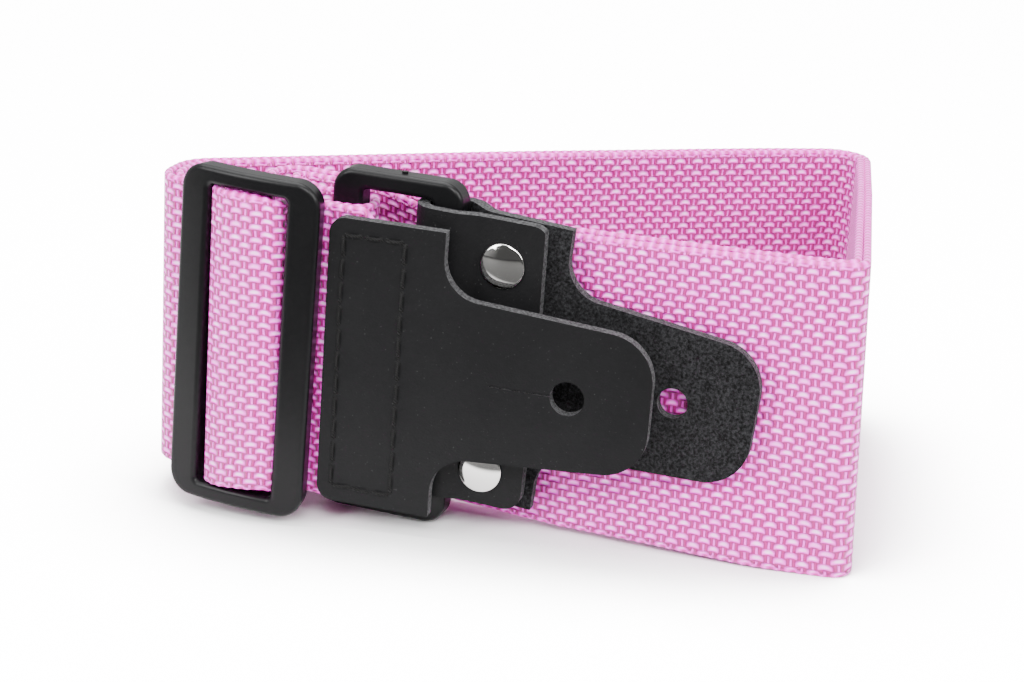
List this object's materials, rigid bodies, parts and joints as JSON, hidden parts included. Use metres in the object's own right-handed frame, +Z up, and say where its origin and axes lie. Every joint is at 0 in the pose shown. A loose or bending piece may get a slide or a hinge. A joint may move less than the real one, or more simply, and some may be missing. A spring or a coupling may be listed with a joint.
{
  "type": "instrument strap",
  "caption": "Adjustable woven strap wound up on its edge, with a slider, a ring and leather tabs that button onto a guitar's strap buttons.",
  "frame": {"origin": "centre of the bounding box's bottom", "axes": "+X to the right along the wound strap, +Y away from the tabs' side, +Z up across the webbing's width"},
  "size_m": [0.1243, 0.0761, 0.0594],
  "materials": {
    "webbing": "woven, slightly lustrous",
    "webbing_tail": "woven, slightly lustrous",
    "front_tab": "matte grained",
    "rear_tab": "matte grained, suede on the tongue",
    "front_tab_stitching": "twisted thread",
    "anchor_stitching": "twisted thread",
    "slider_frame": "satin moulded",
    "ring": "satin moulded",
    "upper_rivet_cap": "polished",
    "upper_rivet_stud": "polished",
    "lower_rivet_cap": "polished",
    "lower_rivet_stud": "polished"
  },
  "bodies": {
    "strap": {"webbing": "webbing", "anchor_stitching": "anchor_stitching"},
    "slider": {"slider_frame": "slider_frame"},
    "front": {"front_tab": "front_tab", "front_tab_stitching": "front_tab_stitching", "webbing_tail": "webbing_tail"},
    "ring": {"ring": "ring"},
    "rear": {"rear_tab": "rear_tab", "upper_rivet_cap": "upper_rivet_cap", "upper_rivet_stud": "upper_rivet_stud", "lower_rivet_cap": "lower_rivet_cap", "lower_rivet_stud": "lower_rivet_stud"}
  },
  "joints": [
    {"name": "slider_rock", "type": "hinge", "parent": "strap", "child": "slider", "pos_m": [-0.04582, -0.0196, 0.03052], "axis": [0.0419, 0, 0.9991], "range_deg": [-1, 0.5]},
    {"name": "front_tab_lift", "type": "hinge", "parent": "strap", "child": "front", "pos_m": [-0.03289, -0.0227, 0.02913], "axis": [-0.0419, 0, -0.9991], "range_deg": [0, 50]},
    {"name": "ring_swing", "type": "hinge", "parent": "strap", "child": "ring", "pos_m": [-0.02972, -0.01458, 0.03019], "axis": [-0.0419, 0, -0.9991], "range_deg": [0, 7.5]},
    {"name": "rear_tab_swing", "type": "hinge", "parent": "ring", "child": "rear", "pos_m": [-0.01343, -0.02036, 0.02932], "axis": [-0.0419, 0, -0.9991], "range_deg": [0, 15]}
  ],
  "couplings": [
    {"joint": "ring_swing", "follows": "front_tab_lift", "ratio": 0.15},
    {"joint": "rear_tab_swing", "follows": "front_tab_lift", "ratio": 0.3}
  ]
}
